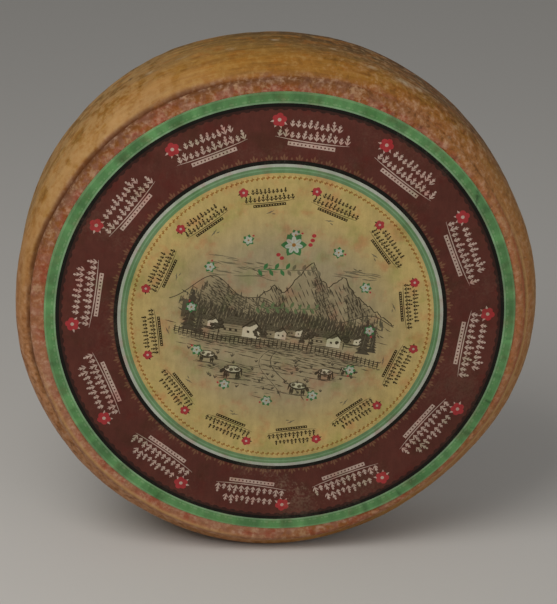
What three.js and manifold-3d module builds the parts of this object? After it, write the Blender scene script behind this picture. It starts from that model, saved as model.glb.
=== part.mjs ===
// A whole wheel of semi-hard alpine cheese, standing on its edge, with a round paper label glued to its front face.
// Millimetres, +Z up. The wheel's axis lies along Y, and the label faces -Y.
// The origin is on the table, under the middle of the wheel.
import * as THREE from "three";
import { mergeVertices } from "three/addons/utils/BufferGeometryUtils.js";
import Module from "manifold-3d";

const wasm = await Module();
wasm.setup();

// Driving dimensions of the wheel
const WHEEL_RADIUS = 183; // at the middle of the bulging side
const WHEEL_THICKNESS = 90; // from face to face
const FACE_RADIUS = 167; // where each flat face begins to roll over
const RIM_ROLL = 4; // how deep the rolled edge reaches, front to back
const SIDE_BULGE = 12; // how far the middle of the side stands out past its edges
const BULGE_POWER = 5; // above 2 the side is flatter in its middle than a circle's arc
const FOOT_DEPTH = 2.8; // how much its own weight has flattened the lowest part

// Driving dimensions of the label
const LABEL_RADIUS = 162;
const LABEL_THICKNESS = 0.6;
const LABEL_GAP = 0.3; // clear space behind the paper
const LABEL_SHIFT_X = 2.7; // the label is glued a little to the right and low
const LABEL_SHIFT_Z = -1.3;
const LABEL_CUT = 0.5; // how far the paper's cut edge strays from a true circle
const LABEL_CUT_WAVES = [
  { count: 2, start: 1 },
  { count: 3, start: 0 },
];

// How finely the round shapes are divided
const TURN_STEPS = 132;
const FACE_RINGS = 6;
const ROLL_STEPS = 4;
const SIDE_STEPS = 16;
const LABEL_RINGS = 6;
const LABEL_TURN_STEPS = 96;

// The outline's slow unevenness: waves round the edge, height in mm, and the angle of a crest in degrees
const OUTLINE_WAVES = [
  { count: 2, height: 1.6, crest: 93.5 },
  { count: 3, height: 1.4, crest: 5.5 },
  { count: 4, height: 0.55, crest: 3.5 },
  { count: 5, height: 0.7, crest: -11 },
];
// Shallow lumps of the side: two waves round the edge that lean in opposite ways, in radians for each mm across it
const SIDE_LUMP = 0.45;
const SIDE_WAVES = [
  { count: 7, lean: 0.07 },
  { count: 3, lean: -0.05 },
];
// Shallow lumps of the faces: two crossing waves, in radians for each mm along X and Z
const FACE_LUMP = 0.45;
const FACE_WAVES = [
  { alongX: 0.0375, alongZ: 0.0167, start: 0.6 },
  { alongX: -0.0125, alongZ: 0.0292, start: 0 },
];
// The furrow that the press cloth's edge left between the front face and the side
const FURROW_DEPTH = 1.6;
const FURROW_WIDTH = 3.4;
const FURROW_MIDDLE = 150; // degrees, counter-clockwise from the right, seen from the front
const FURROW_REACH = 75; // degrees to each side at which it has faded out
const FURROW_FULL = 0.45; // share of that reach over which it is at its deepest
const FURROW_PULL = 0.9; // how far it also draws the edge inwards, as a share of its depth
const FURROW_OUTSET = 0.5; // how far outside the rim's outer edge it runs
const FURROW_BEHIND = 4.5; // how far behind the front face it runs
// Where the front rim strays from the outline: the middle and reach of each bend in degrees, and mm outwards
const RIM_BENDS = [
  { middle: 115, reach: 52, out: -2.8 },
  { middle: 175, reach: 30, out: 2 },
];
const RIM_BEND_FULL = 0.3; // share of its reach over which a bend is at its most
const RIM_BEND_FROM = 120; // radius on the front face from which the bends grow
const RIM_BEND_DEPTH = 34; // how far behind the front face they have faded out

const HALF = WHEEL_THICKNESS / 2;
const AXIS_HEIGHT = WHEEL_RADIUS - FOOT_DEPTH + outlineWave(-Math.PI / 2);

// Radial stray of the wheel's outline at an angle, seen from the front
function outlineWave(angle) {
  return OUTLINE_WAVES.reduce((sum, wave) => {
    const crest = THREE.MathUtils.degToRad(wave.crest);
    return sum + wave.height * Math.cos(wave.count * (angle - crest));
  }, 0);
}

// Gentle swell of a face towards the viewer, the same under the label as around it
function faceSwell(x, z) {
  const [first, second] = FACE_WAVES.map((wave) => wave.alongX * x + wave.alongZ * z + wave.start);
  return FACE_LUMP * Math.sin(first) * Math.cos(second);
}

// 1 round the middle angle in degrees, over a level share of the reach, and falling smoothly to 0 at its end
function turnShare(angle, middle, reach, full) {
  const from = angle - THREE.MathUtils.degToRad(middle);
  const away = Math.abs(Math.atan2(Math.sin(from), Math.cos(from)));
  return 1 - THREE.MathUtils.smoothstep(THREE.MathUtils.radToDeg(away) / reach, full, 1);
}

// How far the front rim stands out from the outline at an angle
function rimBend(angle) {
  return RIM_BENDS.reduce((sum, bend) => {
    return sum + bend.out * turnShare(angle, bend.middle, bend.reach, RIM_BEND_FULL);
  }, 0);
}

// Radius and depth points of the wheel's half section, from the middle of one face to the middle of the other
function wheelProfile() {
  const edgeRadius = WHEEL_RADIUS - SIDE_BULGE;
  const face = [];
  for (let i = 0; i < FACE_RINGS; i++) {
    face.push(new THREE.Vector2((FACE_RADIUS * Math.sqrt(i)) / Math.sqrt(FACE_RINGS), HALF));
  }
  const roll = [];
  for (let i = 0; i <= ROLL_STEPS; i++) {
    const turn = (Math.PI / 2) * (i / ROLL_STEPS);
    roll.push(
      new THREE.Vector2(
        FACE_RADIUS + (edgeRadius - FACE_RADIUS) * Math.sin(turn),
        HALF - RIM_ROLL * (1 - Math.cos(turn)),
      ),
    );
  }
  const quarter = [...face, ...roll];
  const side = [];
  for (let i = 1; i < SIDE_STEPS; i++) {
    const share = (2 * i) / SIDE_STEPS - 1;
    const radius = WHEEL_RADIUS - SIDE_BULGE * Math.abs(share) ** BULGE_POWER;
    side.push(new THREE.Vector2(radius, share * (HALF - RIM_ROLL)));
  }
  const front = quarter.map((point) => new THREE.Vector2(point.x, -point.y));
  return [...front, ...side, ...quarter.reverse()];
}

// Moves each point of the plain turned wheel by its outline, its lumps and its furrow
function unevenWheel(geometry) {
  const position = geometry.getAttribute("position");
  const edgeRadius = WHEEL_RADIUS - SIDE_BULGE;
  for (let i = 0; i < position.count; i++) {
    const x = position.getX(i);
    const y = position.getY(i);
    const z = position.getZ(i);
    const radius = Math.hypot(x, z);
    const angle = Math.atan2(z, x);
    const outward = THREE.MathUtils.smoothstep(radius, 0, edgeRadius);
    const sideward = THREE.MathUtils.smoothstep(radius, FACE_RADIUS, WHEEL_RADIUS);
    const [first, second] = SIDE_WAVES.map((wave) => wave.count * angle + wave.lean * y);
    const lump = SIDE_LUMP * Math.sin(first) * Math.cos(second);
    const fromFurrow = Math.hypot(radius - edgeRadius - FURROW_OUTSET, y + HALF - FURROW_BEHIND) / FURROW_WIDTH;
    const furrowShare = turnShare(angle, FURROW_MIDDLE, FURROW_REACH, FURROW_FULL);
    const furrow = FURROW_DEPTH * furrowShare * Math.exp(-(fromFurrow ** 2));
    const nearRim = THREE.MathUtils.smoothstep(radius, RIM_BEND_FROM, FACE_RADIUS);
    const nearFront = 1 - THREE.MathUtils.smoothstep(y + HALF, RIM_ROLL, RIM_BEND_DEPTH);
    const stray = outward * outlineWave(angle) + nearRim * nearFront * rimBend(angle) + sideward * lump;
    const newRadius = radius + stray - FURROW_PULL * furrow;
    const scale = radius > 0 ? newRadius / radius : 1;
    const facing = THREE.MathUtils.smoothstep(Math.abs(y), HALF - RIM_ROLL, HALF) * Math.sign(y);
    position.setXYZ(i, x * scale, y + facing * (faceSwell(x, z) - furrow), z * scale);
  }
}

// A closed three.js geometry as a manifold solid, and back
function solidOf(geometry) {
  const bare = geometry.clone();
  bare.deleteAttribute("normal");
  bare.deleteAttribute("uv");
  const merged = mergeVertices(bare, 1e-4);
  const vertProperties = merged.getAttribute("position").array;
  const triVerts = new Uint32Array(merged.index.array);
  return new wasm.Manifold(new wasm.Mesh({ numProp: 3, vertProperties, triVerts }));
}

function geometryOf(solid) {
  const mesh = solid.getMesh();
  const geometry = new THREE.BufferGeometry();
  geometry.setAttribute("position", new THREE.BufferAttribute(mesh.vertProperties, 3));
  geometry.setIndex(new THREE.BufferAttribute(mesh.triVerts, 1));
  geometry.computeVertexNormals();
  return geometry;
}

// The whole wheel of cheese, cut flat where it stands
function wheelGeometry() {
  const turned = new THREE.LatheGeometry(wheelProfile(), TURN_STEPS);
  unevenWheel(turned);
  turned.translate(0, 0, AXIS_HEIGHT);
  const belowTable = new THREE.BoxGeometry(3 * WHEEL_RADIUS, 3 * WHEEL_THICKNESS, WHEEL_RADIUS);
  belowTable.translate(0, 0, -WHEEL_RADIUS / 2);
  return geometryOf(solidOf(turned).subtract(solidOf(belowTable)));
}

// The paper disc, which lies on the front face and follows its swell
function labelGeometry() {
  const profile = [new THREE.Vector2(0, -LABEL_THICKNESS)];
  for (let i = 1; i <= LABEL_RINGS; i++) {
    profile.push(new THREE.Vector2((LABEL_RADIUS * i) / LABEL_RINGS, -LABEL_THICKNESS));
  }
  for (let i = LABEL_RINGS; i > 0; i--) {
    profile.push(new THREE.Vector2((LABEL_RADIUS * i) / LABEL_RINGS, 0));
  }
  profile.push(new THREE.Vector2(0, 0));
  const disc = new THREE.LatheGeometry(profile, LABEL_TURN_STEPS);
  const position = disc.getAttribute("position");
  for (let i = 0; i < position.count; i++) {
    const angle = Math.atan2(position.getZ(i), position.getX(i));
    const [first, second] = LABEL_CUT_WAVES.map((wave) => wave.count * angle + wave.start);
    const cut = 1 + (LABEL_CUT / LABEL_RADIUS) * Math.cos(first) * Math.sin(second);
    const x = position.getX(i) * cut + LABEL_SHIFT_X;
    const z = position.getZ(i) * cut + LABEL_SHIFT_Z;
    const onFace = -HALF - faceSwell(x, z) - LABEL_GAP;
    position.setXYZ(i, x, position.getY(i) + onFace, z + AXIS_HEIGHT);
  }
  return geometryOf(solidOf(disc));
}

function piece(name, geometry, material) {
  const mesh = new THREE.Mesh(geometry, material);
  mesh.name = name;
  return mesh;
}

const rind = new THREE.MeshStandardMaterial({ color: "#a8793f", roughness: 0.62, metalness: 0 });
const paper = new THREE.MeshStandardMaterial({ color: "#8a6a45", roughness: 0.7, metalness: 0 });

const cheese = new THREE.Group();
cheese.add(piece("cheese_wheel", wheelGeometry(), rind));
cheese.add(piece("paper_label", labelGeometry(), paper));

// Its uneven outline is centred over the origin
const middle = new THREE.Box3().setFromObject(cheese).getCenter(new THREE.Vector3());
cheese.position.set(-middle.x, -middle.y, 0);

export default cheese;
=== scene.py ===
"""A whole wheel of washed-rind cheese with its printed label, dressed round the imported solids.

The wheel stands on its edge, its axis along Y and its label towards -Y, as the solids do.
Sizes are in millimetres, and MM turns them into Blender's metres when a mesh is made.
"""

import itertools
import math

import bpy
import numpy as np
from mathutils import Matrix, Vector
from mathutils.geometry import delaunay_2d_cdt


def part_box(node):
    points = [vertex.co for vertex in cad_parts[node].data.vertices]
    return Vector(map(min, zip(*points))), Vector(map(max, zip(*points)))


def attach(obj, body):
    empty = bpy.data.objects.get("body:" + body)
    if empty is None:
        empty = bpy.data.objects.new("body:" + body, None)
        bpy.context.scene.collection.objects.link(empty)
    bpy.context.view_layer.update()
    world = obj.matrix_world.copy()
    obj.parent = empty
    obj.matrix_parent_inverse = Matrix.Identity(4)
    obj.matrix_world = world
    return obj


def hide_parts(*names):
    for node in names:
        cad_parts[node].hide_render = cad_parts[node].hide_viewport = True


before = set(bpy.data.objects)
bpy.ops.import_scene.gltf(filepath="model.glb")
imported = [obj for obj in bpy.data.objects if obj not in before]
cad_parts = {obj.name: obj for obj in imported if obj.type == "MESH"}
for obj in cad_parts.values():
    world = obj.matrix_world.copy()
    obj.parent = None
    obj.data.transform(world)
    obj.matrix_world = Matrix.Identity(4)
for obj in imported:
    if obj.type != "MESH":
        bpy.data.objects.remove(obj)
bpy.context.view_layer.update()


# The wheel of cheese
# One uncut wheel of pressed curd under a washed rind. It was formed in a hoop and a cloth, which left a
# bulging side, rolled edges and a furrow where the cloth's fold lay, and its weight flattened its foot.
MM = 0.001
WHEEL_RADIUS = 183  # at the middle of the bulging side
WHEEL_THICKNESS = 90
HALF = WHEEL_THICKNESS / 2
FACE_RADIUS = 167  # where each flat face begins to roll over
RIM_ROLL = 4  # how deep the rolled edge reaches, front to back
SIDE_BULGE = 12
EDGE_RADIUS = WHEEL_RADIUS - SIDE_BULGE
BULGE_POWER = 5  # above 2 the side is flatter in its middle than a circle's arc
FOOT_DEPTH = 2.8
LABEL_RADIUS = 162
LABEL_SHIFT = (2.7, -1.3)  # from the wheel's axis to the label's middle, along X and Z

# Slow waves. Angles round the wheel are in degrees, counter-clockwise from the right, seen from the front
OUTLINE_WAVES = ((2, 1.6, 93.5), (3, 1.4, 5.5), (4, 0.55, 3.5), (5, 0.7, -11))  # count, height, crest
SIDE_LUMP = 0.45
SIDE_WAVES = ((7, 0.07), (3, -0.05))  # count round the edge, lean in radians for each mm across it
FACE_LUMP = 0.45
FACE_WAVES = ((0.0375, 0.0167, 0.6), (-0.0125, 0.0292, 0))  # radians for each mm along X and Z, start

# The front rim. A stretch of it is a middle, a reach to each side, and the share of the reach that is level.
# A line along it is a radius, a depth behind the face, and a width
RIM_BENDS = (((115, 52, 0.3), -2.8), ((175, 30, 0.3), 2))  # stretch, and how far outwards
RIM_BEND_FROM = 120  # radius on the front face from which the bends grow
RIM_BEND_DEPTH = 34  # how far behind the front face they have faded out
FURROW_STRETCH = (150, 75, 0.45)
FURROW_DEPTH = 1.6
FURROW_WIDTH = 3.4
FURROW_PULL = 0.9  # how far it also draws the edge inwards, as a share of its depth
FURROW_OUTSET = 0.5  # how far outside the rim's outer edge it runs
FURROW_BEHIND = 4.5  # how far behind the front face it runs
RIM_FILL = 0.9  # how high the crease between the rolled edge and the side is filled, away from the furrow
RIM_FILL_WIDTH = 2.2
LIP_HEIGHT = 0.45
LIPS = (
    ((230, 44, 0.4), (168.0, 0.3, 1.2), 1.0),
    ((148, 44, 0.4), (176.0, 9.5, 2.4), 0.55),
    ((-14, 54, 0.4), (173.0, 5.4, 1.5), 1.2),
)  # stretch, line and strength of each lip: a low ridge that is also painted pale as a highlight

# The rind's own random lumps, finer than the solids: height, size of one lump, and seed
DENTS = (0.22, 24, 12)
CURDS = (0.20, 7, 13)
HOOP_MARKS = (0.16, 2.6, 11)
HOOP_STRETCH = 0.07  # the hoop's marks are this much slower along the edge than across it
PITS = (1.0, 3.6, 14)
PIT_LEVELS = (0.05, 0.7)  # a pit opens where its lump passes the first, and is deepest past the second
PIT_DEPTH = 0.32
FURROW_STRAY = (0.9, 13, 17)  # of the furrow's line
GOLD_STRAY = (1.0, 9, 15)  # of the line where the side's golden rind begins
CRUST_STRAY = (1.6, 7, 16)  # of the inner edge of the crust
SKIN = 0.4  # the relief is set this far in, so that it stays inside the plain wheel
RELIEF_TURN = (0.3, RIM_ROLL + 1.5)  # depths between which it turns from the face's outside to the side's

# Kinds of rind and painted shade: stretch, and the depths behind the face where each ends and where it is
# whole
KINDS = {
    "crumbly": ((10, 90, 0.35), -1, 0),  # a rough, orange rim
    "rosy": ((222, 75, 0.35), 36, 14),  # a pale margin and rim
    "sunny": ((-8, 64, 0.45), HALF, 16),  # a bright rim
    "blond": ((148, 52, 0.3), -1, 0),  # a fair side
    "upper_right_shade": ((66, 42, 0.3), 4, 74),  # painted shade: the upper right of the side darkening towards the back
}
BANDS = {
    "flushed": ((-8, 50, 0.4), (EDGE_RADIUS - 0.8, 2.2, 1.2)),  # a red line
    "creamy": ((138, 36, 0.3), (EDGE_RADIUS + 6, 11, 6.5)),  # a pale band beside the furrow
    "furrow_band_shade": ((118, 72, 0.4), (EDGE_RADIUS - 1.5, 1.5, 3.4)),  # painted shade: a dark band on the rolled edge, just inside the furrow
}  # stretch and line of the kinds that lie along the rim, and of a band of painted shade
TOP_SHADE_STRETCH = (85, 95, 0.3)  # where the back darkens twice as much: painted shade over the top
BACK_DARK_DEPTHS = (14, 74)  # depths behind the face where the back starts to darken, and where it is darkest
FRONT_DEPTHS = (34, 12)  # where the front's deeper gold ends, and where it is whole
GOLD_BEGINS = 2.0  # how far in from the faces the side's golden rind begins
GOLD_LATER = 4.5  # how much further in where the rim is crumbly
GOLD_LATER_UPPER = 3.2  # and on the stretch at the upper left
UPPER_LEFT = (128, 60, 0.4)
GOLD_BLEND = (-1.2, 1.4)  # how far about that line it blends in
GOLD_BLEND_CRUMBLY = 7  # and how much further where the rim is crumbly
PITTED_LEAST = 0.35  # how pitted the margin is away from the crumbly rim
BARE_FROM = (-1, 2)  # how far out from the label's edge the bare rind starts, and where it is whole
CRUST_FROM = (2.5, 6.5)  # the same for the golden crust of the crumbly rim
RED_TO = (3, 9)  # and where the red rind beside the paper starts to end, and where it ends

# How finely the wheel is divided
RIND_TURNS = 640
UNDER_LABEL = LABEL_RADIUS - 6  # radius up to which the front is divided coarsely, out of sight
UNDER_LABEL_RINGS = 8
MARGIN_RINGS = 9
ROLL_RINGS = 10
SIDE_RINGS = 56
BACK_RINGS = 46
LATTICE = 64  # cells after which the random lumps repeat


def smoothstep(value, start, end):
    """0 before start, 1 after end, and three squares less two cubes of the share in between."""
    share = np.clip((value - start) / (end - start), 0, 1)
    return share * share * (3 - 2 * share)


def clouds(x, y, z, height, size, seed):
    """Soft random lumps: a height by a random value at each corner of a lattice, blended in between."""
    lattice = np.random.default_rng(seed).uniform(-1, 1, (LATTICE, LATTICE, LATTICE))
    spots = [np.asarray(c, float) / size for c in np.broadcast_arrays(x, y, z)]
    cells = [np.floor(c).astype(int) for c in spots]
    shares = [smoothstep(c - cell, 0, 1) for c, cell in zip(spots, cells)]
    total = 0
    for corner in itertools.product((0, 1), repeat=3):
        weight = np.prod([s if c else 1 - s for s, c in zip(shares, corner)], axis=0)
        total = total + weight * lattice[tuple((i + c) % LATTICE for i, c in zip(cells, corner))]
    return height * total


def outline_wave(turn):
    """Stray of the wheel's outline: the sum of each wave's height by the cosine of its turns."""
    return sum(
        height * np.cos(count * (turn - math.radians(crest))) for count, height, crest in OUTLINE_WAVES
    )


def face_swell(x, z):
    """Swell of a face: a sine wave by a cosine wave that crosses it."""
    first, second = (along_x * x + along_z * z + start for along_x, along_z, start in FACE_WAVES)
    return FACE_LUMP * np.sin(first) * np.cos(second)


def turn_share(turn, middle, reach, level):
    """A stretch's share at each angle: 1 over its level part, and falling smoothly to 0 at its reach."""
    away = turn - math.radians(middle)
    away = np.abs(np.degrees(np.arctan2(np.sin(away), np.cos(away))))
    return 1 - smoothstep(away / reach, level, 1)


def ridge_share(radius, behind, at_radius, at_behind, width):
    """A round-topped ridge or groove along the rim: the bell curve of the distance from its line."""
    return np.exp(-(np.hypot(radius - at_radius, behind - at_behind) / width) ** 2)


def wheel_section():
    """Radius and depth of the wheel's half section, from the middle of its front face to that of its back.

    The faces are level, the rolled edges are quarter ellipses, and the side's radius falls from its
    middle with a power of the distance from it.
    """
    under = np.linspace(0, UNDER_LABEL, UNDER_LABEL_RINGS + 1)[1:]
    margin = np.linspace(UNDER_LABEL, FACE_RADIUS, MARGIN_RINGS + 1)[1:]
    back = np.linspace(0, FACE_RADIUS, BACK_RINGS + 1)[1:]
    quarter = np.linspace(0, math.pi / 2, ROLL_RINGS + 1)[1:]
    roll_radius = FACE_RADIUS + (EDGE_RADIUS - FACE_RADIUS) * np.sin(quarter)
    roll_depth = HALF - RIM_ROLL * (1 - np.cos(quarter))
    across = np.linspace(-1, 1, SIDE_RINGS + 1)[1:-1]
    side_radius = WHEEL_RADIUS - SIDE_BULGE * np.abs(across) ** BULGE_POWER
    front = np.r_[under, margin]
    radius = np.r_[front, roll_radius, side_radius, roll_radius[::-1], back[::-1]]
    front_depth, back_depth = np.full(len(front), -HALF), np.full(len(back), HALF)
    depth = np.r_[front_depth, -roll_depth, across * (HALF - RIM_ROLL), roll_depth[::-1], back_depth]
    return radius, depth


def wheel_surface(turn, radius, depth):
    """The wheel's points and the shares of its kinds of rind and painted light, for angles and section
    points.

    The section is turned about Y. Its radius takes the outline's waves, the front rim's bends, the side's
    lumps and hoop marks, and what fills the crease behind each rolled edge. Its depth takes the swell of
    the faces. The furrow is cut into the front rim between lips, along a line that strays by random lumps.
    """
    turn, radius, depth = np.broadcast_arrays(turn, radius, depth)
    x, z = radius * np.cos(turn), radius * np.sin(turn)
    behind = depth + HALF
    inward = HALF - np.abs(depth)
    from_label = np.hypot(x - LABEL_SHIFT[0], z - LABEL_SHIFT[1]) - LABEL_RADIUS
    bare = np.where(depth > 0, 1, smoothstep(from_label, *BARE_FROM))
    kinds = {
        name: turn_share(turn, *stretch) * smoothstep(behind, ends, whole)
        for name, (stretch, ends, whole) in KINDS.items()
    }
    bands = {
        name: turn_share(turn, *stretch) * ridge_share(radius, behind, *line)
        for name, (stretch, line) in BANDS.items()
    }

    furrowed = turn_share(turn, *FURROW_STRETCH)
    furrow_radius = EDGE_RADIUS + FURROW_OUTSET + clouds(x, 0, z, *FURROW_STRAY)
    furrow = furrowed * ridge_share(radius, behind, furrow_radius, FURROW_BEHIND, FURROW_WIDTH)
    filled = ridge_share(radius, inward, EDGE_RADIUS, RIM_ROLL, RIM_FILL_WIDTH)
    filled = filled * (1 - furrowed * (depth < 0))
    lip = sum(
        strength * turn_share(turn, *stretch) * ridge_share(radius, behind, *line)
        for stretch, line, strength in LIPS
    )

    crumbly = kinds["crumbly"]
    golden_from = GOLD_BEGINS + GOLD_LATER * crumbly + GOLD_LATER_UPPER * turn_share(turn, *UPPER_LEFT)
    golden_from = golden_from + (1 + crumbly) * clouds(x, depth, z, *GOLD_STRAY)
    golden = smoothstep(inward - golden_from, GOLD_BLEND[0], GOLD_BLEND[1] + GOLD_BLEND_CRUMBLY * crumbly)
    pitted = (1 - golden) * bare * (PITTED_LEAST + (1 - PITTED_LEAST) * crumbly)
    crusted = crumbly * smoothstep(from_label + clouds(x, depth, z, *CRUST_STRAY), *CRUST_FROM)

    on_side = smoothstep(inward, *RELIEF_TURN)
    hoop = clouds(HOOP_STRETCH * x, depth, HOOP_STRETCH * z, *HOOP_MARKS) * on_side
    soft = clouds(x, depth, z, *DENTS) + clouds(x, depth, z, *CURDS) * bare
    pits = -PIT_DEPTH * smoothstep(clouds(x, depth, z, *PITS), *PIT_LEVELS) * pitted
    relief = hoop + (soft - SKIN) * bare + pits + LIP_HEIGHT * lip

    outward = smoothstep(radius, 0, EDGE_RADIUS)
    bend = sum(out * turn_share(turn, *stretch) for stretch, out in RIM_BENDS)
    bend = bend * smoothstep(radius, RIM_BEND_FROM, FACE_RADIUS)
    bend = bend * smoothstep(behind, RIM_BEND_DEPTH, RIM_ROLL)
    first, second = (count * turn + lean * depth for count, lean in SIDE_WAVES)
    lump = SIDE_LUMP * np.sin(first) * np.cos(second) * smoothstep(radius, FACE_RADIUS, WHEEL_RADIUS)
    facing = smoothstep(np.abs(depth), HALF - RIM_ROLL, HALF) * np.sign(depth)
    wide = radius + outward * outline_wave(turn) + bend + lump
    wide = wide - FURROW_PULL * FURROW_DEPTH * furrow + on_side * relief + RIM_FILL * filled
    deep = depth + facing * (face_swell(x, z) - FURROW_DEPTH * furrow)
    deep = deep + np.sign(depth) * (1 - on_side) * relief
    points = np.stack([wide * np.cos(turn), deep, wide * np.sin(turn)], axis=-1)
    shares = {
        **kinds,
        **bands,
        "side": golden,
        "furrow": furrow,
        "lip": lip,
        "pitted": pitted,
        "crusted": crusted,
        "by_label": (1 - smoothstep(from_label, *RED_TO)) * (1 - crusted) * (depth < 0),
        "frontward": smoothstep(behind, *FRONT_DEPTHS),
        # The back of the side darker all round, and twice as dark over the top as painted shade
        "back_dark_and_shade": smoothstep(behind, *BACK_DARK_DEPTHS) * (1 + turn_share(turn, *TOP_SHADE_STRETCH)) / 2,
        "back": (depth > 0) * (1 - golden),
    }
    return points, shares


AXIS_HEIGHT = WHEEL_RADIUS - FOOT_DEPTH + float(outline_wave(-math.pi / 2))
wheel_low, wheel_high = (np.array(corner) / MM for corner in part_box("cheese_wheel"))
label_low, label_high = (np.array(corner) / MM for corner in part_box("paper_label"))
plain_turn = np.linspace(0, 2 * math.pi, RIND_TURNS, endpoint=False)
plain_reach = (WHEEL_RADIUS + outline_wave(plain_turn)) * np.cos(plain_turn)
AXIS_X = (wheel_low[0] + wheel_high[0] - plain_reach.min() - plain_reach.max()) / 2
AXIS_Y = (wheel_low[1] + wheel_high[1]) / 2


def add_piece(name, points, faces, node):
    """A smooth mesh object from points in mm about the wheel's axis, which takes a CAD node's place."""
    placed = (points + (AXIS_X, AXIS_Y, AXIS_HEIGHT)) * MM
    placed[:, 2] = np.maximum(placed[:, 2], 0)
    mesh = bpy.data.meshes.new(name)
    mesh.from_pydata(placed.tolist(), [], faces)
    mesh.polygons.foreach_set("use_smooth", np.ones(len(mesh.polygons), bool))
    piece = bpy.data.objects.new(name, mesh)
    bpy.context.scene.collection.objects.link(piece)
    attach(piece, "root")
    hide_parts(node)
    return piece


def add_share(piece, name, values):
    """Keeps one number for each point of a piece, for its material to read."""
    layer = piece.data.attributes.new(name, "FLOAT", "POINT")
    layer.data.foreach_set("value", np.asarray(values, np.float32).ravel())


def ring_faces(rings, turns):
    """Quads between neighbouring rings of points, and a fan of triangles round the pole at each end."""
    ring, turn = np.meshgrid(np.arange(rings - 1), np.arange(turns), indexing="ij")
    after = (turn + 1) % turns
    near, far = 1 + ring * turns, 1 + (ring + 1) * turns
    quads = np.stack([near + turn, far + turn, far + after, near + after], axis=-1).reshape(-1, 4)
    turn = np.arange(turns)
    after = (turn + 1) % turns
    last = 1 + (rings - 1) * turns
    front = np.stack([np.zeros_like(turn), 1 + turn, 1 + after], axis=-1)
    back = np.stack([np.full_like(turn, last + turns), last + after, last + turn], axis=-1)
    return front.tolist() + quads.tolist() + back.tolist()


section_radius, section_depth = wheel_section()
rind_turn = np.linspace(0, 2 * math.pi, RIND_TURNS, endpoint=False)
rind_points, rind_shares = wheel_surface(rind_turn[None, :], section_radius[:, None], section_depth[:, None])
front_pole = [0, -HALF - face_swell(0, 0), 0]
back_pole = [0, HALF + face_swell(0, 0), 0]
rind = add_piece(
    "washed_rind",
    np.concatenate([[front_pole], rind_points.reshape(-1, 3), [back_pole]]),
    ring_faces(len(section_radius), RIND_TURNS),
    "cheese_wheel",
)
for share_name, share_values in rind_shares.items():
    pole_values = share_values[0, 0], share_values[-1, 0]
    add_share(rind, share_name, np.r_[pole_values[0], share_values.ravel(), pole_values[1]])

# Where the shelf has rubbed the side pale: angle, place across it, length, width, strength
SCUFFS = (
    (62.6, -24, 13, 2.8, 1.0),
    (59.2, -21.5, 9, 2.4, 0.9),
    (70.6, -23, 8, 2.4, 0.7),
    (57.4, -13, 8, 2.0, 0.6),
    (91.0, -1, 5, 1.5, 1.0),
    (78.5, -8, 5, 1.6, 0.8),
    (100.5, -14, 6, 1.8, 0.5),
    (118.0, -12, 6, 2.0, 0.6),
    (111.0, -9, 9, 1.6, 0.35),
)
STAINS = ((122.6, -3, 2.6, 2.6, 1.0), (106.0, 6, 3.0, 1.6, 0.5))  # and where it is stained dark


def spotted(spots):
    """The strongest of some oval spots on the side at each point: bell curves along it and across it."""
    total = 0
    for at_turn, at_depth, length, width, strength in spots:
        away = rind_turn[None, :] - math.radians(at_turn)
        along = np.arctan2(np.sin(away), np.cos(away)) * WHEEL_RADIUS / (length / 2)
        across = (section_depth[:, None] - at_depth) / width
        total = np.maximum(total, strength * np.exp(-(along**2) - across**2))
    return total * rind_shares["side"]


add_share(rind, "scuffed", np.r_[0, spotted(SCUFFS).ravel(), 0])
add_share(rind, "stained", np.r_[0, spotted(STAINS).ravel(), 0])


def paint(red, green, blue):
    """A colour as seen on a screen, 0 to 255, as Blender's linear colour."""
    seen = np.array([red, green, blue]) / 255
    return (*np.where(seen <= 0.04045, seen / 12.92, ((seen + 0.055) / 1.055) ** 2.4), 1.0)


def add_node(tree, kind, inputs=(), **settings):
    """Adds a node with its settings. Its inputs, by name or number, are values or sockets to link."""
    made = tree.nodes.new(kind)
    for name, value in settings.items():
        setattr(made, name, value)
    for name, value in dict(inputs).items():
        if isinstance(value, bpy.types.NodeSocket):
            tree.links.new(value, made.inputs[name])
        else:
            made.inputs[name].default_value = value
    return made


def mixed(tree, share, first, second, way="MIX"):
    """The second colour laid over the first by a share."""
    made = add_node(tree, "ShaderNodeMix", {0: share, 6: first, 7: second}, data_type="RGBA", blend_type=way)
    return made.outputs[2]


def computed(tree, operation, *values):
    """A Math node's result."""
    return add_node(tree, "ShaderNodeMath", dict(enumerate(values)), operation=operation).outputs[0]


def stepped(tree, value, low, high):
    """0 where value is under low, 1 over high, and smooth in between."""
    inputs = {"Value": value, "From Min": low, "From Max": high}
    return add_node(tree, "ShaderNodeMapRange", inputs, interpolation_type="SMOOTHSTEP").outputs[0]


def noise(tree, place, scale, detail=3.0, roughness=0.55):
    """Blender's noise at a place, in cells to the metre."""
    inputs = {"Vector": place, "Scale": scale, "Detail": detail, "Roughness": roughness}
    return add_node(tree, "ShaderNodeTexNoise", inputs).outputs["Fac"]


def shared(tree, name):
    """A share that the piece keeps for each point."""
    return add_node(tree, "ShaderNodeAttribute", attribute_name=name).outputs["Fac"]


def weighed(tree, start, *parts):
    """A sum: the start, and each part by its weight."""
    for part, weight in parts:
        start = computed(tree, "MULTIPLY_ADD", part, weight, start)
    return start


def new_material(name):
    """A material with an empty Principled surface, its node tree and that shader."""
    material = bpy.data.materials.new(name)
    material.use_nodes = True
    tree = material.node_tree
    return material, tree, tree.nodes["Principled BSDF"]


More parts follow.
